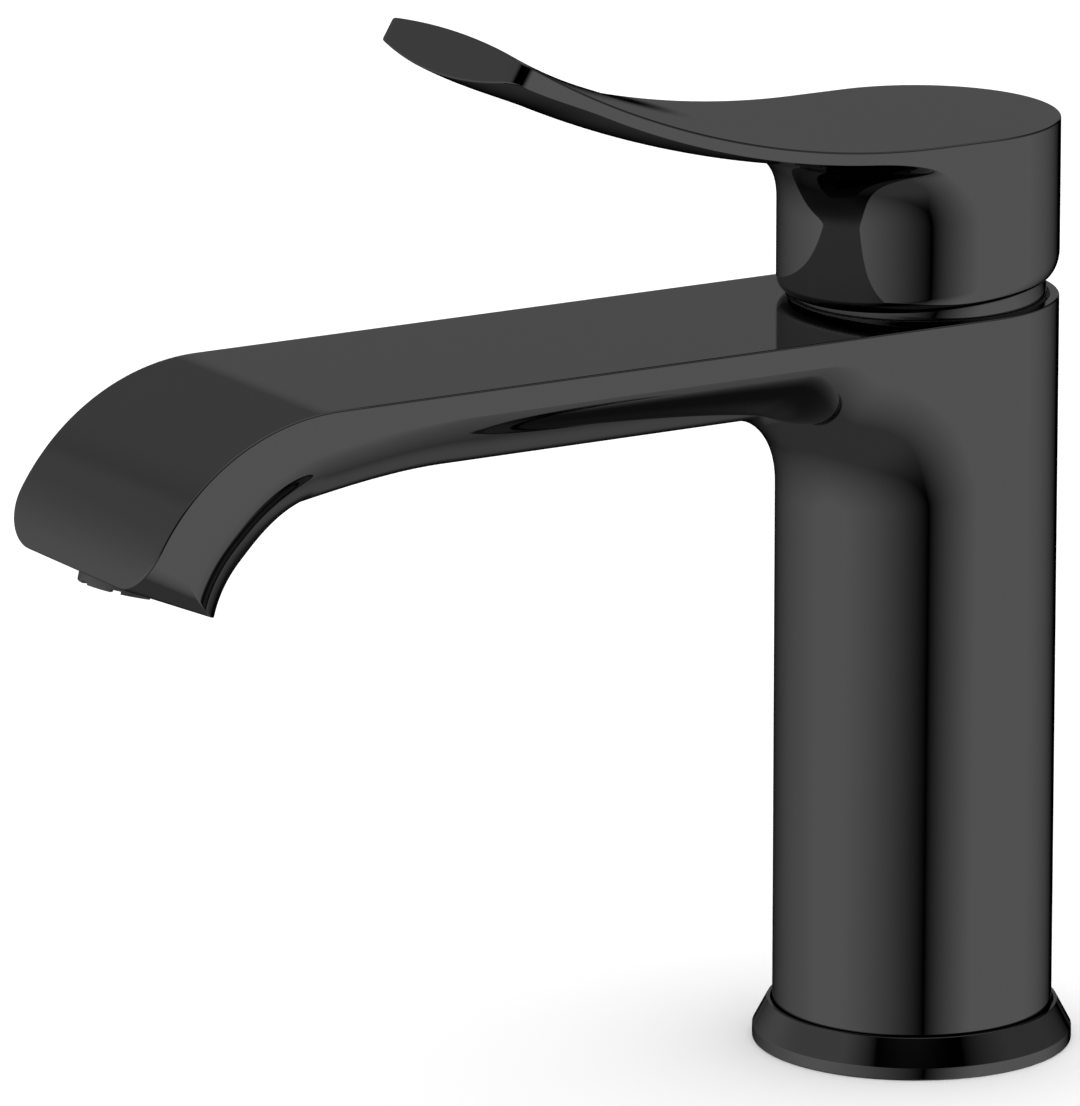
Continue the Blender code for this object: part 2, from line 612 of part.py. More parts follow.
    nut_low = SHOULDER[1] + GAP
    nut = ring("lock_nut", NECK_R + 1.0, CHAMBER_R - GAP, nut_low, nut_low + LOCK_NUT_T, BRASS)
    for step in range(3):
        turn = Matrix.Rotation(math.pi * step / 3, 4, "Z")
        cut(nut, block(f"cut_nut_slot_{step}", (-25, -1.5, nut_low + 2.4), (25, 1.5, nut_low + 8), place=turn))
    limit_low = nut_low + LOCK_NUT_T + GAP
    limit = ring("hot_limit_ring", NECK_R + GAP, COLLAR_BORE_R - 0.6, limit_low, limit_low + LIMIT_RING_T,
                 RED_PLASTIC)
    cut(limit, block("cut_limit_stop", (-2.5, COLLAR_BORE_R - 2.0, limit_low - 2), (2.5, 20, limit_low + 8)))


def collar():
    outline = [(COLLAR_BORE_R, COLLAR_TOP)]
    low, high = COLLAR_BOTTOM - PIVOT_Z, COLLAR_TOP - PIVOT_Z
    for step in range(7):
        height = high + (low - high) * step / 6
        outline.append((math.sqrt(BALL_R ** 2 - height ** 2), PIVOT_Z + height))
    spigot = CHAMBER_R - GAP
    outline += [(spigot, COLLAR_BOTTOM), (spigot, BODY_TOP - 0.9), (COLLAR_BORE_R, BODY_TOP - 0.9)]
    turned("dome_collar", outline, BLACK_CHROME, 40)
    ring("collar_slide_ring", CHAMBER_R + 0.1, COUNTERBORE[0] - 0.4, COUNTERBORE[1] + GAP,
         COLLAR_BOTTOM - GAP, DARK_PLASTIC)


def handle():
    rows = []
    for step in range(RIM_STEPS + 1):
        turn = math.pi / 2 * step / RIM_STEPS
        radius = RIM_R + (COLUMN_R - RIM_R) * math.cos(turn)
        height = RIM_OUTER[0] + (RIM_INNER[0] - RIM_OUTER[0]) * math.sin(turn)
        rise = RIM_OUTER[1] + (RIM_INNER[1] - RIM_OUTER[1]) * math.sin(turn)
        rows.append((radius, height, rise))
    lever = LEVER.build("handle", rows, BLACK_CHROME)

    ball_cut = BALL_R + GAP
    dome = [(0, PIVOT_Z - 4)]
    split = math.acos(HANDLE_CAVITY_R / ball_cut)
    for step in range(7):
        turn = -0.2 + (split + 0.2) * step / 6
        dome.append((ball_cut * math.cos(turn), PIVOT_Z + ball_cut * math.sin(turn)))
    boss_low = BOSS_BOTTOM
    dome += [(HANDLE_CAVITY_R, HANDLE_ROOF), (BOSS_R, HANDLE_ROOF), (BOSS_R, boss_low),
             (INSERT_R + GAP, boss_low), (INSERT_R + GAP, HANDLE_ROOF), (0, HANDLE_ROOF)]
    rearward = Matrix.Translation((0, 0, SCREW_Z * MM)) @ Matrix.Rotation(-math.pi / 2, 4, "X")
    cut_many(lever,
        turned("cut_handle_cavity", dome, None, 40),
        rod("cut_plug_hole", PLUG_R + GAP, HANDLE_CAVITY_R - 2, COLUMN_R + 5, place=rearward),
        rod("cut_boss_hole", SCREW_R + GAP, INSERT_R - 2, BOSS_R + 2, segments=16, place=rearward))

    insert = rod("handle_insert", INSERT_R, BOSS_BOTTOM + GAP, HANDLE_ROOF - GAP, BRASS, ROUND)
    lean = tilted_about_pivot(SPINDLE_LEAN)
    grip = 3.5 + GAP
    cut(insert,
        block("cut_insert_socket", (-grip, -grip, PIVOT_Z), (grip, grip, PIVOT_Z + SPINDLE_TOP + 1), place=lean),
        rod("cut_insert_thread", SCREW_R + GAP, 0.5, 20, segments=16, place=rearward))
    tip = 2.6
    screw = rod("set_screw", SCREW_R, tip, INSERT_R, STEEL, 16, place=rearward)
    hexagon = [(0.9 * math.cos(math.pi * k / 3), 0.9 * math.sin(math.pi * k / 3)) for k in range(6)]
    cut(screw, prisms("cut_screw_hex", [hexagon], INSERT_R - 2.2, INSERT_R + 2, place=rearward))
    outline = [(0, HANDLE_CAVITY_R + 0.4), (PLUG_R, HANDLE_CAVITY_R + 0.4), (PLUG_R, COLUMN_R - 0.3),
               (PLUG_R * 0.8, COLUMN_R + 0.05), (0, COLUMN_R + 0.2)]
    turned("index_plug", outline, RED_PLASTIC, SMALL_ROUND, place=rearward)


def aerator():
    place = outlet_place()
    bore = AERATOR_R - AERATOR_WALL
    outline = [(bore - 0.6, -AERATOR_PROUD), (AERATOR_R, -AERATOR_PROUD), (AERATOR_R, AERATOR_DEPTH),
               (bore, AERATOR_DEPTH), (bore, 0.3), (bore - 0.6, 0.3)]
    housing = turned("aerator_housing", outline, DARK_PLASTIC, 32, place=place)
    for step in range(4):
        turn = place @ Matrix.Rotation(math.pi * step / 4, 4, "Z")
        cut(housing, block(f"cut_notch_{step}", (-12, -0.8, -3), (12, 0.8, -AERATOR_PROUD + 0.45), place=turn))
    inner = bore - GAP
    comb = rod("aerator_honeycomb", inner, 0.6, 2.6, DARK_PLASTIC, 24, place=place)
    hexagon = [(CELL_R * math.cos(math.pi * k / 3), CELL_R * math.sin(math.pi * k / 3)) for k in range(6)]
    pitch = 2 * CELL_R + 0.35
    cells = []
    for column in range(-2, 3):
        for row in range(-2, 3):
            spot = Vector((pitch * (column + row / 2), pitch * row * math.sqrt(3) / 2))
            if spot.length < inner - CELL_R - 0.5:
                cells.append([(x + spot.x, y + spot.y) for x, y in hexagon])
    cut(comb, prisms("cut_cells", cells, -1, 4, place=place))
    ring("aerator_screen", 1.0, inner, 2.9, 3.6, STEEL, 24, place=place)
    regulator = rod("flow_regulator", inner, 3.9, 6.3, WHITE_PLASTIC, 24, place=place)
    for step in range(6):
        angle = math.pi * step / 3
        spot = (3.9 * math.cos(angle), 3.9 * math.sin(angle))
        cut_many(regulator, rod(f"cut_regulator_{step}", 1.2, 2, 8, segments=10, centre=spot, place=place))
    seal("aerator_seal", bore - 1.5, AERATOR_R, AERATOR_DEPTH + GAP, AERATOR_DEPTH + GAP + 1.0, 24, place=place)


def main():
    clear_scene()
    body()
    base()
    inlets()
    cartridge()
    collar()
    handle()
    aerator()


main()
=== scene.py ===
"""Looks of the single-lever basin mixer tap: fine shells, finishes, studio and camera.

Sizes are in millimetres and are turned into metres where vertices are made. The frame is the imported
model's: +Z up, origin on the column's axis at the deck, spout and lever towards -Y.
"""

import json
import math

import bmesh
import bpy
from mathutils import Matrix, Vector


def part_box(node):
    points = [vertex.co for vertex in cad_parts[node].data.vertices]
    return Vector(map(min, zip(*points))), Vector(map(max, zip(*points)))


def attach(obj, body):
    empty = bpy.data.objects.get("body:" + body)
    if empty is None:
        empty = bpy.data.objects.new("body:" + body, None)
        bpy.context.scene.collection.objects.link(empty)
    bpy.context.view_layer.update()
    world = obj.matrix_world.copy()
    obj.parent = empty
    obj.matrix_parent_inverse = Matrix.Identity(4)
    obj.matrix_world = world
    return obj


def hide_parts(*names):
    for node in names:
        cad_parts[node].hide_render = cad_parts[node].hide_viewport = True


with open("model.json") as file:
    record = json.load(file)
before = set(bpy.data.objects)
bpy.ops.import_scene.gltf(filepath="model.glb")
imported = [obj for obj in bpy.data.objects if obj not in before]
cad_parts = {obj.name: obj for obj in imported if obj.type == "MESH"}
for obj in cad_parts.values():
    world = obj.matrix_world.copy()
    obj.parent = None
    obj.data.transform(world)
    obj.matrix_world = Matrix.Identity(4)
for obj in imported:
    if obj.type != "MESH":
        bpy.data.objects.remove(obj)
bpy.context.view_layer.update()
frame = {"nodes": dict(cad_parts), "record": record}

MM = 0.001
FINE = 72                     # facets across an arm and half round the column
TURNED = 160                  # facets round the turned pieces
EDGE_R = 0.35                 # rounding of the plated edges
LOW_EDGE_R = 0.3

SHELL_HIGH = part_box("body_shell")[1] / MM
RING_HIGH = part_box("base_ring")[1] / MM
COLLAR_LOW, COLLAR_HIGH = (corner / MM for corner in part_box("dome_collar"))
COLUMN_R = SHELL_HIGH.x
BODY_TOP = SHELL_HIGH.z

TURN_LENGTH = 25.0            # stretch over which an arm's sections turn square to its top
PIVOT_Z = 119.5
BALL_R = 20.06


def smooth(value):
    """Ease a value from 0 to 1."""
    value = max(0.0, min(1.0, value))
    return value * value * (3 - 2 * value)


def smooth_between(value, stretch):
    return smooth((value - stretch[0]) / (stretch[1] - stretch[0]))


def eased(start, corner, end, steps):
    """Points between start and end on a curve that rounds off the corner."""
    found = []
    for step in range(1, steps):
        t = step / steps
        found.append(start * (1 - t) ** 2 + corner * 2 * t * (1 - t) + end * t ** 2)
    return found


def piece_from(name, bm, look, sharp=50):
    bmesh.ops.recalc_face_normals(bm, faces=bm.faces)
    if bm.calc_volume(signed=True) < 0:
        bmesh.ops.reverse_faces(bm, faces=bm.faces)
    mesh = bpy.data.meshes.new(name)
    bm.to_mesh(mesh)
    bm.free()
    mesh.shade_smooth()
    mesh.set_sharp_from_angle(angle=math.radians(sharp))
    piece = bpy.data.objects.new(name, mesh)
    bpy.context.scene.collection.objects.link(piece)
    if look is not None:
        mesh.materials.append(look)
    return piece


def turned(name, profile, look=None, segments=TURNED, place=None):
    """Turn a closed outline of (radius, height) about Z; radius 0 makes a point on the axis."""
    bm = bmesh.new()
    rings = []
    for radius, height in profile:
        count = 1 if radius == 0 else segments
        angles = [2 * math.pi * step / segments for step in range(count)]
        rings.append([bm.verts.new(Vector((radius * math.cos(a), radius * math.sin(a), height)) * MM)
                      for a in angles])
    for ring, following in zip(rings, rings[1:] + rings[:1]):
        if len(ring) == 1 and len(following) == 1:
            continue
        for step in range(segments):
            after = (step + 1) % segments
            corners = [ring[step % len(ring)], ring[after % len(ring)],
                       following[after % len(following)], following[step % len(following)]]
            bm.faces.new(list(dict.fromkeys(corners)))
    if place is not None:
        bm.transform(place)
    return piece_from(name, bm, look)


def rod(name, radius, low, high, segments=64, place=None):
    """A plain round cutter."""
    outline = [(0, low), (radius, low), (radius, high), (0, high)]
    return turned(name, outline, None, segments, place)


def block(name, low, high, place=None):
    bm = bmesh.new()
    bmesh.ops.create_cube(bm, size=1.0)
    size, middle = Vector(high) - Vector(low), (Vector(high) + Vector(low)) / 2
    bm.transform(Matrix.Translation(middle * MM) @ Matrix.Diagonal((*(size * MM), 1.0)))
    if place is not None:
        bm.transform(place)
    return piece_from(name, bm, None)


def carve(piece, *cutters):
    """Cut each cutter out of the piece, keep the result as its mesh, and remove the cutters."""
    for cutter in cutters:
        modifier = piece.modifiers.new(cutter.name, "BOOLEAN")
        modifier.operation = "DIFFERENCE"
        modifier.solver = "MANIFOLD"
        modifier.object = cutter
    bpy.context.view_layer.update()
    shaped = piece.evaluated_get(bpy.context.evaluated_depsgraph_get())
    mesh = bpy.data.meshes.new_from_object(shaped)
    piece.modifiers.clear()
    piece.data = mesh
    mesh.shade_smooth()
    mesh.set_sharp_from_angle(angle=math.radians(50))
    for cutter in cutters:
        bpy.data.objects.remove(cutter, do_unlink=True)


def weigh_normals(piece):
    """Let large faces keep their own normals beside the small rounding faces."""
    modifier = piece.modifiers.new("weighted_normals", "WEIGHTED_NORMAL")
    modifier.keep_sharp = True
    modifier.weight = 90


class Arm:
    """A wide flat arm that grows out of a round column: the spout, or the lever on its skirt."""

    def __init__(self, **sizes):
        self.__dict__.update(sizes)

    def section(self, share, cross, roundness):
        """Hull depth as a share of its greatest, at cross = x / half width."""
        cross = min(1.0, abs(cross))
        depth = self.hull / COLUMN_R
        circle_r = (1 + depth * depth) / (2 * depth)
        arc = (math.sqrt(circle_r ** 2 - cross ** 2) - (circle_r - depth)) / depth
        return share * ((1 - roundness) * arc + roundness * math.sqrt(1 - cross ** 2))

    def top_at(self, y):
        reach = max(0.0, -y - self.flat)
        return self.top + self.side * (self.bend_r - math.sqrt(self.bend_r ** 2 - reach ** 2))

    def edge(self, along):
        """Point (y, z) at a length along the top edge, and the direction (y, z) into the thickness."""
        angle = max(0.0, along - self.flat) / self.bend_r
        y = -min(along, self.flat) - self.bend_r * math.sin(angle)
        z = self.top + self.side * self.bend_r * (1 - math.cos(angle))
        angle *= smooth_between(along, (self.start(), self.start() + TURN_LENGTH))
        return (y, z), (-self.side * math.sin(angle), -math.cos(angle))

    def start(self):
        reach = self.blend[0]
        if reach <= self.flat:
            return reach
        return self.flat + self.bend_r * math.asin((reach - self.flat) / self.bend_r)

    def end(self):
        return self.flat + self.bend_r * self.bend_angle

    def half_width(self, along):
        share = (along - self.start()) / (self.end() - self.start())
        return COLUMN_R + (self.tip_half - COLUMN_R) * smooth(share)

    def ahead(self, along):
        """How far the keel's rows run ahead of the edge's, to meet the start of the fillet."""
        lead = COLUMN_R + self.fillet - self.blend[0]
        if lead == 0:
            return 0.0
        return lead * max(0.0, 1 - (along - self.start()) / (3 * abs(lead)))

    def outline(self, cross, inset_side=0.0, inset_end=0.0):
        """Length along the arm at which its plan outline, with rounded corners, ends."""
        radius = self.corner_r - max(inset_side, 0.0)
        half = self.tip_half - inset_side
        over = max(0.0, abs(cross) * half - (half - radius))
        drop = radius - math.sqrt(max(0.0, radius ** 2 - over ** 2))
        return self.end() - inset_end - drop

    def reach(self, cross, share, inset_side=0.0, inset_end=0.0):
        return self.start() + (self.outline(cross, inset_side, inset_end) - self.start()) * share

    def upper(self, along, cross, inset=0.0):
        (y, z), (down_y, down_z) = self.edge(along)
        full = self.half_width(along)
        x = cross * (full - inset)
        rise = self.crown * smooth_between(along, self.crown_growth) * (1 - (x / full) ** 2)
        return Vector((x, y - down_y * rise, z - down_z * rise))

    def lower(self, along, cross):
        place = along + self.ahead(along) * self.section(1.0, cross, 0.0)
        (y, z), (down_y, down_z) = self.edge(place)
        grown = smooth_between(place, self.growth)
        depth = self.band + (self.tip_band - self.band) * grown
        hull = self.hull + (self.tip_hull - self.hull) * grown
        depth += self.section(hull, cross, self.roundness * grown)
        lean = depth * self.slant * smooth_between(place, (self.end() - 2 * self.corner_r, self.end()))
        return Vector((cross * self.half_width(along), y + down_y * depth + down_z * lean,
                       z + down_z * depth - down_y * lean))

    def root_row(self, turn, crosses):
        """A row where the underside turns down the fillet into the column, and the top above it."""
        edge_y = -self.blend[0] * (1 - math.sin(turn))
        edge_top = self.top_at(edge_y)
        edge_z = edge_top - self.band - self.blend[1] * (1 - math.cos(turn))
        keel_y = -COLUMN_R - self.fillet * (1 - math.sin(turn))
        keel_z = self.top_at(keel_y) - self.band - self.hull - self.fillet * (1 - math.cos(turn))
        roundness = smooth(turn / (math.pi / 2))
        top, low = [], []
        for cross in crosses:
            share = self.section(1.0, cross, roundness)
            top.append(Vector(((COLUMN_R - EDGE_R) * cross, edge_y, edge_top)))
            low.append(Vector((COLUMN_R * cross, edge_y + (keel_y - edge_y) * share,
                               edge_z + (keel_z - edge_z) * share)))
        return top, low

    def wall(self, bm, top, corner, low_corner, low):
        """Vertices down the wall between a top and a bottom vertex, with both edges rounded."""
        down = (low_corner - corner).normalized()
        first, last = corner + down * EDGE_R, low_corner - down * LOW_EDGE_R
        spots = eased(top.co / MM, corner, first, 4) + [first, last]
        spots += eased(last, low_corner, low.co / MM, 3)
        return [top] + [bm.verts.new(spot * MM) for spot in spots] + [low]

    def build(self, name, column_rows, look):
        """Skin the arm and its column; each column row is (radius, height on the axis, rise per Y)."""
        bm = bmesh.new()
        crosses = [math.sin(math.pi * (step / FINE - 0.5)) for step in range(FINE + 1)]

        def line(points):
            return [bm.verts.new(point * MM) for point in points]

        def bridge(first, second):
            for a, b, c, d in zip(first, first[1:], second[1:], second):
                bm.faces.new((a, b, c, d))

        tops, lows, walls = [], [], []
        for step in range(self.steps):
            share = 1 - step / self.steps
            top = line([self.upper(self.reach(c, share, EDGE_R, EDGE_R), c, EDGE_R) for c in crosses])
            low = line([self.lower(self.reach(c, share, 0.0, LOW_EDGE_R), c) for c in crosses])
            places = range(FINE + 1) if step == 0 else (0, FINE)
            row_walls = {}
            for across in places:
                cross = crosses[across]
                along = self.reach(cross, share)
                row_walls[across] = self.wall(bm, top[across], self.upper(along, cross),
                                              self.lower(along, cross), low[across])
            tops.append(top)
            lows.append(low)
            walls.append(row_walls)
        for step in range(self.root_steps + 1):
            top_points, low_points = self.root_row(math.pi / 2 * step / self.root_steps, crosses)
            top, low = line(top_points), line(low_points)
            row_walls = {}
            for across in (0, FINE):
                outer = top_points[across].copy()
                outer.x = low_points[across].x
                row_walls[across] = self.wall(bm, top[across], outer, low_points[across], low[across])
            tops.append(top)
            lows.append(low)
            walls.append(row_walls)

        for rows in (tops, lows):
            for row, following in zip(rows, rows[1:]):
                bridge(row, following)
        for row, following in zip(walls, walls[1:]):
            for across in (0, FINE):
                bridge(row[across], following[across])
        for across in range(FINE):
            bridge(walls[0][across], walls[0][across + 1])

        def back_half(radius, height, rise=0.0):
            points = []
            for step in range(1, FINE):
                angle = math.pi * step / FINE
                x, y = radius * math.cos(angle), radius * math.sin(angle)
                points.append(Vector((x, y, height + rise * y)))
            return line(points)

        back = []
        for right, left in zip(walls[-1][FINE], walls[-1][0]):
            spot = right.co / MM
            back.append([right] + back_half(spot.x, spot.z) + [left])
        bm.faces.new(tops[-1] + back[0][1:-1])
        front = lows[-1]
        first = [vert.co / MM for vert in front]
        for radius, height, rise in column_rows:
            points = []
            for cross in crosses:
                y = -radius * math.sqrt(max(0.0, 1 - cross ** 2))
                points.append(Vector((radius * cross, y, height + rise * y)))
            if radius == COLUMN_R:
                for share in COLUMN_SHARES:
                    between = [a.lerp(b, share) for a, b in zip(first, points)]
                    following = line(between)
                    bridge(front, following)
                    front = following
                    level = first[0].z + (height - first[0].z) * share
                    back.append([front[-1]] + back_half(COLUMN_R, level, rise * share) + [front[0]])
            following = line(points)
            bridge(front, following)
            front = following
            back.append([front[-1]] + back_half(radius, height, rise) + [front[0]])
        for row, following in zip(back, back[1:]):
            bridge(row, following)
        bm.faces.new(front + back[-1][1:-1])
        return piece_from(name, bm, look)


COLUMN_SHARES = (0.04, 0.12, 0.3, 0.6)
SPOUT = Arm(top=BODY_TOP, flat=116.0, bend_r=35.5, bend_angle=math.radians(72), side=-1.0,
            band=3.9, tip_band=3.9, hull=11.7, tip_hull=18.3, growth=(90.0, 145.0), tip_half=COLUMN_R,
            corner_r=8.0, crown=0.0, crown_growth=(90.0, 145.0), slant=0.08, fillet=15.5,
            blend=(31.0, 23.0), roundness=0.8, steps=130, root_steps=28)
LEVER = Arm(top=148.4, flat=10.0, bend_r=140.0, bend_angle=math.radians(31.6), side=1.0,
            band=2.0, tip_band=3.3, hull=2.6, tip_hull=2.6, growth=(70.0, 89.0), tip_half=20.2,
            corner_r=2.7, crown=1.25, crown_growth=(22.0, 62.0), slant=0.0, fillet=9.5,
            blend=(22.0, 10.0), roundness=0.0, steps=90, root_steps=24)

# Column, cartridge chamber and outlet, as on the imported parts
LOWER_BORE_R, SEPTUM = 19.0, (66.0, 76.0)
CHAMBER_R = 18.0
RECESS_R, RECESS_FLOOR = 20.5, 118.8
AERATOR_R, AERATOR_WALL, AERATOR_DEPTH = 7.9, 1.1, 7.0
AERATOR_PROUD, AERATOR_BACK = 0.5, 10.6
GAP = 0.3

# Lever skirt
RIM_OUTER, RIM_INNER, RIM_R = (125.3, 0.119), (122.35, 0.0735), 19.87
HANDLE_ROOF, HANDLE_CAVITY_R = 142.0, 17.8
BOSS_R, BOSS_BOTTOM, INSERT_R = 13.0, 131.5, 9.5
SCREW_Z, SCREW_R, PLUG_R = 136.5, 1.7, 2.7


# Studio: the light on the floor, and what the plating mirrors. Directions are sines: 1 is straight up,
# straight to the right, or straight towards the camera.
CAMERA_YAW, CAMERA_PITCH = 149.05, -14.32  # degrees, direction in which the camera looks
EVEN_LIGHT = 1.35
OVERHEAD_LIGHT = 0.75
WALL_LIGHT = 0.95
LEFT_WALL, RIGHT_WALL, REAR_WALL = 0.94, 0.98, 0.8
LEFT_CEILING, RIGHT_CEILING, REAR_CEILING = 0.5, 0.32, 0.48
FLOOR_GLOW, LOW_REAR_GLOW = 0.32, 0.6
BACKWARD = (-0.3, 0.3)        # stretch over which the room turns from its rear to its front half
REAR_LEAN, REAR_PLACE = 0.39, 0.31    # how far the left wall's edge lies from the strip, at the rear
REAR_GAP = 0.24               # the same for the right wall's edge
FAR_SHADE = 10.4              # how much darker the room is at its far end, seen at a glancing angle
STRIP_PLACE, STRIP_LEAN = 0.27, 0.5  # the dark strip's place at eye level, and its lean
LEFT_FADE, RIGHT_FADE = 1.0, 0.58     # how wide the strip's soft edges are


def quarter(centre, radius, first, last, steps):
    """Points (radius, height) on an arc between two angles in degrees."""
    found = []
    for step in range(steps + 1):
        angle = math.radians(first + (last - first) * step / steps)
        found.append((centre[0] + radius * math.cos(angle), centre[1] + radius * math.sin(angle)))
    return found


def outlet_place():
    """Frame of the aerator: its origin on the outlet face, Z into the spout."""
    (y, z), (down_y, down_z) = SPOUT.edge(SPOUT.end())
    lean = AERATOR_BACK * SPOUT.slant
    middle = Vector((0, y + down_y * AERATOR_BACK + down_z * lean,
                     z + down_z * AERATOR_BACK - down_y * lean)) * MM
    tilt = math.pi / 2 - SPOUT.bend_angle - math.atan(SPOUT.slant)
    return Matrix.Translation(middle) @ Matrix.Rotation(-tilt, 4, "X")


def rearward():
    """Frame of the set screw: Z out of the back of the skirt."""
    return Matrix.Translation((0, 0, SCREW_Z * MM)) @ Matrix.Rotation(-math.pi / 2, 4, "X")


def column_and_spout(look):
    shell = SPOUT.build("column_and_spout", [(COLUMN_R, 0.0, 0.0)], look)
    rim = 0.2
    recess = [(0, SEPTUM[1]), (CHAMBER_R, SEPTUM[1]), (CHAMBER_R, RECESS_FLOOR), (RECESS_R, RECESS_FLOOR)]
    recess += quarter((RECESS_R + rim, BODY_TOP - rim), rim, 180, 90, 4)
    recess += [(RECESS_R + rim, BODY_TOP + 2), (0, BODY_TOP + 2)]
    pocket_r, pocket_depth = AERATOR_R + GAP, AERATOR_DEPTH + 2 * GAP + 1.0
    pocket = [(0, -2), (pocket_r + rim, -2)] + quarter((pocket_r + rim, rim), rim, 270, 180, 4)
    pocket += [(pocket_r, pocket_depth), (0, pocket_depth)]
    carve(shell, turned("cut_recess", recess, None, 2 * FINE),
          rod("cut_bore", LOWER_BORE_R, -5, SEPTUM[0], 96),
          turned("cut_pocket", pocket, None, 96, outlet_place()))
    weigh_normals(shell)
    return shell


def lever_shell(look):
    rows = []
    for step in range(9):
        turn = math.pi / 2 * step / 8
        radius = RIM_R + (COLUMN_R - RIM_R) * math.cos(turn)
        height = RIM_OUTER[0] + (RIM_INNER[0] - RIM_OUTER[0]) * math.sin(turn)
        rise = RIM_OUTER[1] + (RIM_INNER[1] - RIM_OUTER[1]) * math.sin(turn)
        rows.append((radius, height, rise))
    shell = LEVER.build("lever_and_skirt", rows, look)
    ball_cut = BALL_R + GAP
    split = math.acos(HANDLE_CAVITY_R / ball_cut)
    dome = [(0, PIVOT_Z - 4)]
    dome += [(ball_cut * math.cos(a), PIVOT_Z + ball_cut * math.sin(a))
             for a in [-0.2 + (split + 0.2) * step / 24 for step in range(25)]]
    dome += [(HANDLE_CAVITY_R, HANDLE_ROOF), (BOSS_R, HANDLE_ROOF), (BOSS_R, BOSS_BOTTOM),
             (INSERT_R + GAP, BOSS_BOTTOM), (INSERT_R + GAP, HANDLE_ROOF), (0, HANDLE_ROOF)]
    carve(shell, turned("cut_cavity", dome, None, 2 * FINE),
          rod("cut_plug_hole", PLUG_R + GAP, HANDLE_CAVITY_R - 2, COLUMN_R + 5, 48, rearward()),
          rod("cut_boss_hole", SCREW_R + GAP, INSERT_R - 2, BOSS_R + 2, 32, rearward()))
    weigh_normals(shell)
    return shell


def foot_ring(look):
    low, high, outer = 0.0, RING_HIGH.z, RING_HIGH.x
    inner = COLUMN_R + 0.35
    side, lip, recess_r = 2.2, inner + 0.3, 24.6
    rim = 0.25
    slope = math.degrees(math.atan2(high - side, outer - lip))
    outline = [(inner, 1.3), (recess_r, 1.3), (recess_r, low)]
    outline += quarter((outer - rim, low + rim), rim, -90, 0, 4)
    outline += quarter((outer - rim, side - rim), rim, 0, 90 - slope, 4)
    outline += quarter((lip + 0.12, high - 0.18), 0.18, 90 - slope, 90, 3)
    outline += [(inner, high), (inner, 4.2), (inner + 1.0, 4.2), (inner + 1.0, 2.6), (inner, 2.6)]
    ring = turned("foot_ring", outline, look, 2 * TURNED)
    weigh_normals(ring)
    return ring


def dome_ring(look):
    low, high = BODY_TOP + 0.15, COLLAR_HIGH.z
    bore, spigot = 15.2, CHAMBER_R - GAP
    outline = [(bore, high)]
    steps = 36
    for step in range(steps + 1):
        height = high + (low - high) * step / steps - PIVOT_Z
        outline.append((math.sqrt(BALL_R ** 2 - height ** 2), PIVOT_Z + height))
    outline += [(spigot, low), (spigot, COLLAR_LOW.z), (bore, COLLAR_LOW.z)]
    ring = turned("dome_ring", outline, look, 2 * TURNED)
    weigh_normals(ring)
    return ring


def aerator_ring(look):
    """The castellated insert that a key unscrews from the outlet."""
    place = outlet_place()
    bore = AERATOR_R - AERATOR_WALL
    lip, rim = bore - 0.6, 0.15
    outline = [(lip, -AERATOR_PROUD)] + quarter((AERATOR_R - rim, rim - AERATOR_PROUD), rim, -90, 0, 3)
    outline += [(AERATOR_R, AERATOR_DEPTH), (bore, AERATOR_DEPTH), (bore, 0.3), (lip, 0.3)]
    ring = turned("aerator_ring", outline, look, 96, place)
    cutters = []
    for step in range(4):
        turn = place @ Matrix.Rotation(math.pi * step / 4, 4, "Z")
        cutters.append(block(f"cut_notch_{step}", (-12, -0.8, -3), (12, 0.8, 0.45 - AERATOR_PROUD), turn))
    carve(ring, *cutters)
    return ring


def index_button(look):
    low, high = HANDLE_CAVITY_R + 0.4, COLUMN_R + 0.2
    rim = 0.45
    outline = [(0, low), (PLUG_R, low)] + quarter((PLUG_R - rim, high - rim), rim, 0, 90, 6) + [(0, high)]
    button = turned("index_button", outline, look, 48, rearward())
    weigh_normals(button)
    return button


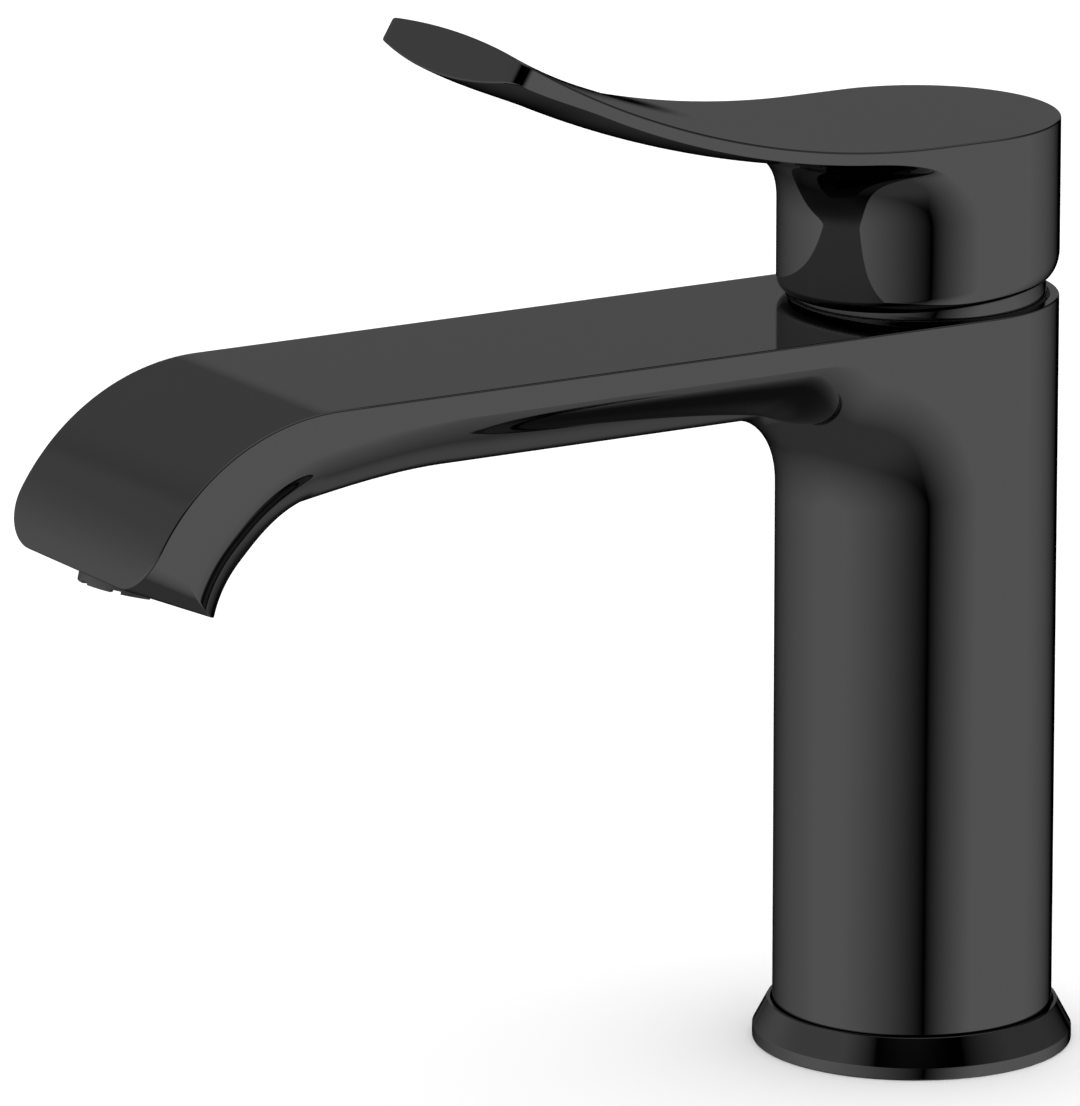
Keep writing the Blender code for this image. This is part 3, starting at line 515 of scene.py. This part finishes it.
def finish_material(name, colour, metallic, roughness, spread=0.02, grain=900.0, bump=0.0, shade=0.94):
    """A plated, moulded or turned surface: fine variation in its colour, gloss and relief.

    The colour drifts between itself and its shade, and the roughness by its spread either way.
    """
    made = bpy.data.materials.new(name)
    made.use_nodes = True
    nodes, links = made.node_tree.nodes, made.node_tree.links
    shader = nodes["Principled BSDF"]
    shader.inputs["Metallic"].default_value = metallic
    place = nodes.new("ShaderNodeTexCoord")
    cloud = nodes.new("ShaderNodeTexNoise")
    cloud.inputs["Scale"].default_value = 45.0
    cloud.inputs["Detail"].default_value = 3.0
    fine = nodes.new("ShaderNodeTexNoise")
    fine.inputs["Scale"].default_value = grain
    fine.inputs["Detail"].default_value = 2.0
    links.new(place.outputs["Object"], cloud.inputs["Vector"])
    links.new(place.outputs["Object"], fine.inputs["Vector"])
    tint = nodes.new("ShaderNodeMix")
    tint.data_type = "RGBA"
    tint.inputs["A"].default_value = (*[channel * shade for channel in colour], 1.0)
    tint.inputs["B"].default_value = (*colour, 1.0)
    links.new(cloud.outputs["Fac"], tint.inputs["Factor"])
    links.new(tint.outputs["Result"], shader.inputs["Base Color"])
    gloss = nodes.new("ShaderNodeMapRange")
    gloss.inputs["From Min"].default_value = 0.3
    gloss.inputs["From Max"].default_value = 0.7
    gloss.inputs["To Min"].default_value = max(0.0, roughness - spread)
    gloss.inputs["To Max"].default_value = roughness + spread
    links.new(fine.outputs["Fac"], gloss.inputs["Value"])
    links.new(gloss.outputs["Result"], shader.inputs["Roughness"])
    if bump:
        relief = nodes.new("ShaderNodeBump")
        relief.inputs["Strength"].default_value = bump
        relief.inputs["Distance"].default_value = 0.0001
        links.new(fine.outputs["Fac"], relief.inputs["Height"])
        links.new(relief.outputs["Normal"], shader.inputs["Normal"])
    return made


LOOKS = {
    "black_chrome": finish_material("black_chrome", (0.088, 0.088, 0.09), 1.0, 0.03, 0.012, 700.0,
                                    shade=0.985),
    "brass": finish_material("brass", (0.62, 0.46, 0.22), 1.0, 0.3, 0.06, 1200.0, 0.15),
    "steel": finish_material("steel", (0.55, 0.55, 0.56), 1.0, 0.24, 0.05, 1500.0, 0.1),
    "rubber": finish_material("rubber", (0.02, 0.02, 0.02), 0.0, 0.75, 0.08, 2500.0, 0.4),
    "ceramic": finish_material("ceramic", (0.85, 0.84, 0.8), 0.0, 0.16, 0.03, 900.0, 0.03),
    "white_plastic": finish_material("white_plastic", (0.75, 0.75, 0.72), 0.0, 0.42, 0.05, 2000.0, 0.12),
    "red_plastic": finish_material("red_plastic", (0.55, 0.03, 0.03), 0.0, 0.4, 0.05, 2000.0, 0.12),
    "dark_plastic": finish_material("dark_plastic", (0.03, 0.03, 0.032), 0.0, 0.35, 0.05, 2000.0, 0.1),
}


def dress_packed_nodes():
    """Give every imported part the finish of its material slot."""
    slots = {item["node"]: item["material_slot"] for item in frame["record"]["subparts"]}
    for name, node in frame["nodes"].items():
        node.data.materials.clear()
        node.data.materials.append(LOOKS[slots[name]])


def place_pieces():
    shown = ((column_and_spout, "body", "body_shell", "black_chrome"),
             (lever_shell, "lever", "handle", "black_chrome"),
             (foot_ring, "body", "base_ring", "black_chrome"),
             (dome_ring, "body", "dome_collar", "black_chrome"),
             (aerator_ring, "body", "aerator_housing", "dark_plastic"),
             (index_button, "lever", "index_plug", "red_plastic"))
    for make, body, node, slot in shown:
        piece = make(LOOKS[slot])
        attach(piece, body)
        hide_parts(node)


def studio_reflections(nodes, links):
    """What the plating mirrors: bright walls and two soft dark zones, by direction.

    The walls are bright to the left and right of the camera and all the way down, a dark strip stands
    straight ahead, the ceiling is dark, and a lit wall stands far behind.
    """

    def joined(node, values):
        for socket, value in zip(node.inputs, values):
            if isinstance(value, bpy.types.NodeSocket):
                links.new(value, socket)
            else:
                socket.default_value = value

    def maths(operation, *values, clamp=False):
        node = nodes.new("ShaderNodeMath")
        node.operation = operation
        node.use_clamp = clamp
        joined(node, values)
        return node.outputs["Value"]

    def along(direction):
        node = nodes.new("ShaderNodeVectorMath")
        node.operation = "DOT_PRODUCT"
        joined(node, (looking, direction))
        return node.outputs["Value"]

    def ramp(value, low, high, top=1.0, soft=True):
        node = nodes.new("ShaderNodeMapRange")
        node.interpolation_type = "SMOOTHSTEP" if soft else "LINEAR"
        joined(node, (value, low, high, 0.0, top))
        return node.outputs["Result"]

    def largest(*values):
        found = values[0]
        for value in values[1:]:
            found = maths("MAXIMUM", found, value)
        return found

    def product(*values):
        found = values[0]
        for value in values[1:]:
            found = maths("MULTIPLY", found, value)
        return found

    looking = nodes.new("ShaderNodeTexCoord").outputs["Generated"]
    yaw, pitch = math.radians(CAMERA_YAW), math.radians(CAMERA_PITCH)
    toward = along((-math.cos(yaw), -math.sin(yaw), 0.0))
    front = along((-math.cos(yaw) * math.cos(pitch), -math.sin(yaw) * math.cos(pitch), -math.sin(pitch)))
    aside = along((math.sin(yaw), -math.cos(yaw), 0.0))
    up = along((0.0, 0.0, 1.0))
    behind = maths("SUBTRACT", 1.0, ramp(toward, *BACKWARD))
    strip = maths("MULTIPLY_ADD", up, STRIP_LEAN, STRIP_PLACE)
    left_edge = maths("SUBTRACT", strip, product(behind, maths("MULTIPLY_ADD", up, REAR_LEAN, REAR_PLACE)))
    right_edge = maths("MULTIPLY_ADD", behind, REAR_GAP, strip)
    left_wall = ramp(maths("SUBTRACT", left_edge, aside), 0.0, LEFT_FADE, LEFT_WALL, soft=False)
    right_wall = ramp(maths("SUBTRACT", aside, right_edge), 0.0, RIGHT_FADE, RIGHT_WALL, soft=False)
    down = maths("MULTIPLY", up, -1.0)
    floor_glow = ramp(down, 0.25, 0.75, FLOOR_GLOW)
    walls = largest(left_wall, right_wall, floor_glow)
    leftward = maths("MULTIPLY", aside, -1.0)
    left_high = ramp(leftward, 0.4, 0.7, LEFT_CEILING, soft=False)
    right_high = ramp(aside, 0.52, 0.87, RIGHT_CEILING, soft=False)
    back = maths("MULTIPLY", toward, -1.0)
    back_high = product(ramp(back, 0.3, 0.7, REAR_CEILING), ramp(maths("SUBTRACT", 0.35, aside), 0.0, 0.2))
    ceiling = largest(left_high, right_high, back_high)
    left_wall_rise = ramp(leftward, 0.1, 0.5, 0.15)
    above = ramp(maths("SUBTRACT", up, left_wall_rise), -0.05, 0.25)
    room = maths("ADD", product(walls, maths("SUBTRACT", 1.0, above)), product(ceiling, above))
    lit_wall = product(ramp(back, 0.9, 0.97, REAR_WALL), ramp(up, -0.17, -0.08),
                       maths("SUBTRACT", 1.0, ramp(up, 0.33, 0.45)))
    low_back = product(ramp(back, 0.3, 0.7, LOW_REAR_GLOW), ramp(down, 0.42, 0.6), ramp(aside, -0.25, 0.15))
    overhead = ramp(up, 0.6, 0.85, OVERHEAD_LIGHT)
    half = maths("SQRT", maths("MULTIPLY_ADD", front, 0.5, 0.5))
    glancing = maths("POWER", maths("SUBTRACT", 1.0, half, clamp=True), 5.0)
    shade = maths("DIVIDE", 1.0, maths("MULTIPLY_ADD", glancing, FAR_SHADE, 1.0))
    return product(largest(room, lit_wall, low_back, overhead), shade)


def studio():
    """A pale floor under an even white light, with the studio's walls seen only in reflections."""
    floor = bpy.data.meshes.new("floor")
    reach = 6.0
    floor.from_pydata([(-reach, -reach, 0), (reach, -reach, 0), (reach, reach, 0), (-reach, reach, 0)],
                      [], [(0, 1, 2, 3)])
    ground = bpy.data.objects.new("floor", floor)
    bpy.context.scene.collection.objects.link(ground)
    ground.visible_glossy = False
    pale = bpy.data.materials.new("pale_floor")
    pale.use_nodes = True
    shader = pale.node_tree.nodes["Principled BSDF"]
    shader.inputs["Base Color"].default_value = (0.9, 0.9, 0.9, 1)
    shader.inputs["Roughness"].default_value = 1.0
    shader.inputs["Specular IOR Level"].default_value = 0.0
    floor.materials.append(pale)
    world = bpy.data.worlds.new("white_room")
    bpy.context.scene.world = world
    world.use_nodes = True
    nodes, links = world.node_tree.nodes, world.node_tree.links
    light = nodes["Background"]
    light.inputs["Color"].default_value = (1, 1, 1, 1)
    mirrored = nodes.new("ShaderNodeMath")
    mirrored.operation = "MULTIPLY"
    mirrored.inputs[1].default_value = WALL_LIGHT
    links.new(studio_reflections(nodes, links), mirrored.inputs[0])
    ray = nodes.new("ShaderNodeLightPath")
    chosen = nodes.new("ShaderNodeMix")
    chosen.inputs["A"].default_value = EVEN_LIGHT
    links.new(ray.outputs["Is Glossy Ray"], chosen.inputs["Factor"])
    links.new(mirrored.outputs["Value"], chosen.inputs["B"])
    links.new(chosen.outputs["Result"], light.inputs["Strength"])


def camera():
    """The camera stands in front of the spout's right side, a little above it."""
    lens = bpy.data.cameras.new("camera")
    view = bpy.data.objects.new("camera", lens)
    bpy.context.scene.collection.objects.link(view)
    view.location = (1.4643, -0.9464, 0.5232)
    yaw, pitch = math.radians(CAMERA_YAW), math.radians(CAMERA_PITCH)
    ahead = Vector((math.cos(pitch) * math.cos(yaw), math.cos(pitch) * math.sin(yaw), math.sin(pitch)))
    view.rotation_mode = "QUATERNION"
    view.rotation_quaternion = ahead.to_track_quat("-Z", "Y")
    lens.sensor_width = 36.0
    lens.lens = 375.1
    lens.clip_start, lens.clip_end = 0.1, 50.0
    bpy.context.scene.camera = view


dress_packed_nodes()
place_pieces()
studio()
camera()
bpy.context.scene.view_settings.view_transform = "Standard"
